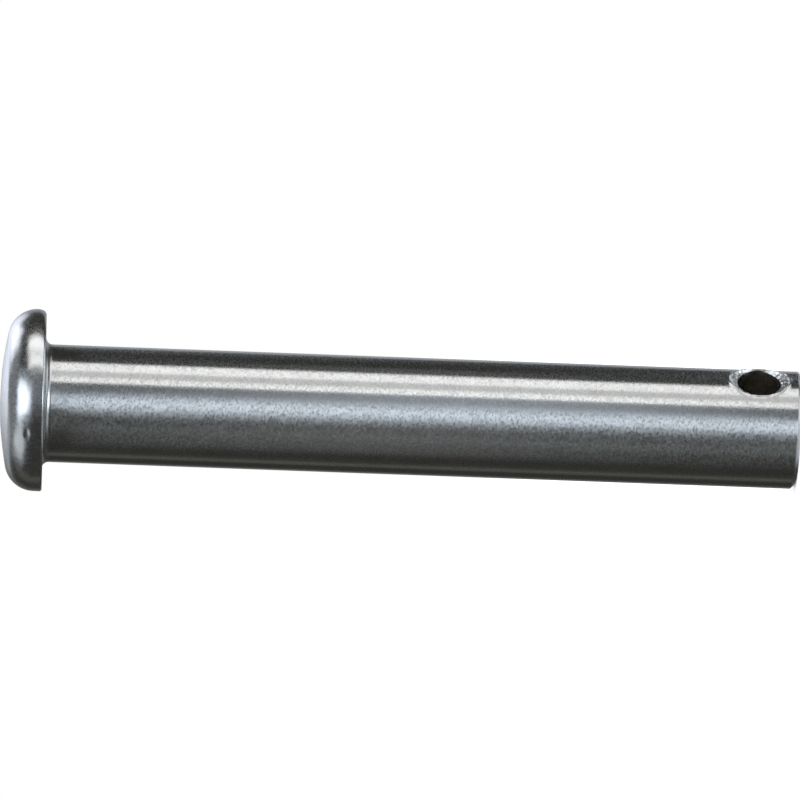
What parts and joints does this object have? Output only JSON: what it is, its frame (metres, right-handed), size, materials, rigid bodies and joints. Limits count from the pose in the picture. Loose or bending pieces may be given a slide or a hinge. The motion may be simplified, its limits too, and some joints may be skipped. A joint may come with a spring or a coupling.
{
  "type": "clevis pin",
  "caption": "Headed clevis pin: a plain round steel shank with a low domed head, a chamfered flat tip and a countersunk cotter hole across the shank near the tip.",
  "frame": {"origin": "middle of the flat face at the tip, which the pin stands on", "axes": "+Z along the pin's axis from the tip to the head, and the cotter hole runs along Y"},
  "size_m": [0.0098, 0.0098, 0.0428],
  "materials": {
    "steel": "bright steel, shank ground round to a fine satin with short crosswise lines, head smoother with a faint orange-peel"
  },
  "bodies": {
    "root": {"clevis_pin": "steel"}
  },
  "joints": []
}
